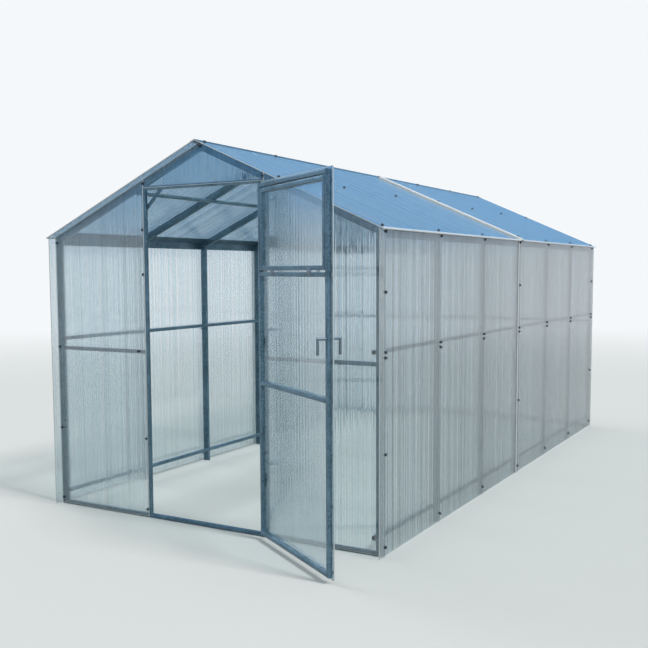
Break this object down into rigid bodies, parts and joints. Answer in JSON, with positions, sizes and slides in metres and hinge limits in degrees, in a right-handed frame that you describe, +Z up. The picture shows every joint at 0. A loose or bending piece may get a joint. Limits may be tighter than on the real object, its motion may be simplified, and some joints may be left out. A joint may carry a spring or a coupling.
{
  "type": "polycarbonate greenhouse",
  "caption": "Gable greenhouse of galvanised steel tube clad in clear twin-wall polycarbonate sheet, with a side-hung door standing open and a vent window in the door's top.",
  "frame": {"origin": "Centre of the underside of the front sill, on the ground in the plane of the front arch.", "axes": "+X to the right seen from the door end, +Y towards the rear gable along the building, +Z up."},
  "size_m": [2.0466, 4.4132, 1.9361],
  "materials": {
    "galvanised_steel": "galvanised sheet steel tube with a soft zinc spangle",
    "zinc_plated_steel": "smooth zinc plating",
    "polycarbonate": "clear extruded twin-wall sheet with fine flutes"
  },
  "bodies": {
    "frame": {"front_sill": "galvanised_steel", "rear_sill": "galvanised_steel", "left_posts": "galvanised_steel", "right_posts": "galvanised_steel", "left_rafters": "galvanised_steel", "right_rafters": "galvanised_steel", "left_base_rail": "galvanised_steel", "right_base_rail": "galvanised_steel", "left_mid_rail": "galvanised_steel", "right_mid_rail": "galvanised_steel", "left_roof_purlin": "galvanised_steel", "right_roof_purlin": "galvanised_steel", "left_eave_angle": "galvanised_steel", "right_eave_angle": "galvanised_steel", "left_door_jamb": "galvanised_steel", "right_door_jamb": "galvanised_steel", "door_head_bar": "galvanised_steel", "head_corner_brace": "galvanised_steel", "front_gable_rails": "galvanised_steel", "rear_gable_studs": "galvanised_steel", "rear_gable_rails": "galvanised_steel", "left_wall_sheet_front": "polycarbonate", "left_wall_sheet_rear": "polycarbonate", "right_wall_sheet_front": "polycarbonate", "right_wall_sheet_rear": "polycarbonate", "left_roof_sheet_front": "polycarbonate", "left_roof_sheet_rear": "polycarbonate", "right_roof_sheet_front": "polycarbonate", "right_roof_sheet_rear": "polycarbonate", "front_gable_sheet_left": "polycarbonate", "front_gable_sheet_right": "polycarbonate", "front_gable_sheet_top": "polycarbonate", "rear_gable_sheet": "polycarbonate", "ridge_cap": "galvanised_steel", "door_hinge_brackets": "zinc_plated_steel"},
    "door": {"door_stiles": "galvanised_steel", "door_rails": "galvanised_steel", "door_sheet": "polycarbonate", "door_hinge_leaves": "zinc_plated_steel", "vent_stiles": "galvanised_steel", "vent_rails": "galvanised_steel", "vent_sheet": "polycarbonate", "vent_hinges": "zinc_plated_steel"},
    "latch": {"door_latch": "zinc_plated_steel"}
  },
  "joints": [
    {"name": "door_swing", "type": "hinge", "parent": "frame", "child": "door", "pos_m": [0.3665, -0.024, 1], "axis": [0, 0, 1], "range_deg": [-147, 18]},
    {"name": "latch_turn", "type": "hinge", "parent": "door", "child": "latch", "pos_m": [0.95131, -0.42524, 1.02], "axis": [-0.5446, -0.8387, 0], "range_deg": [-90, 90]}
  ]
}
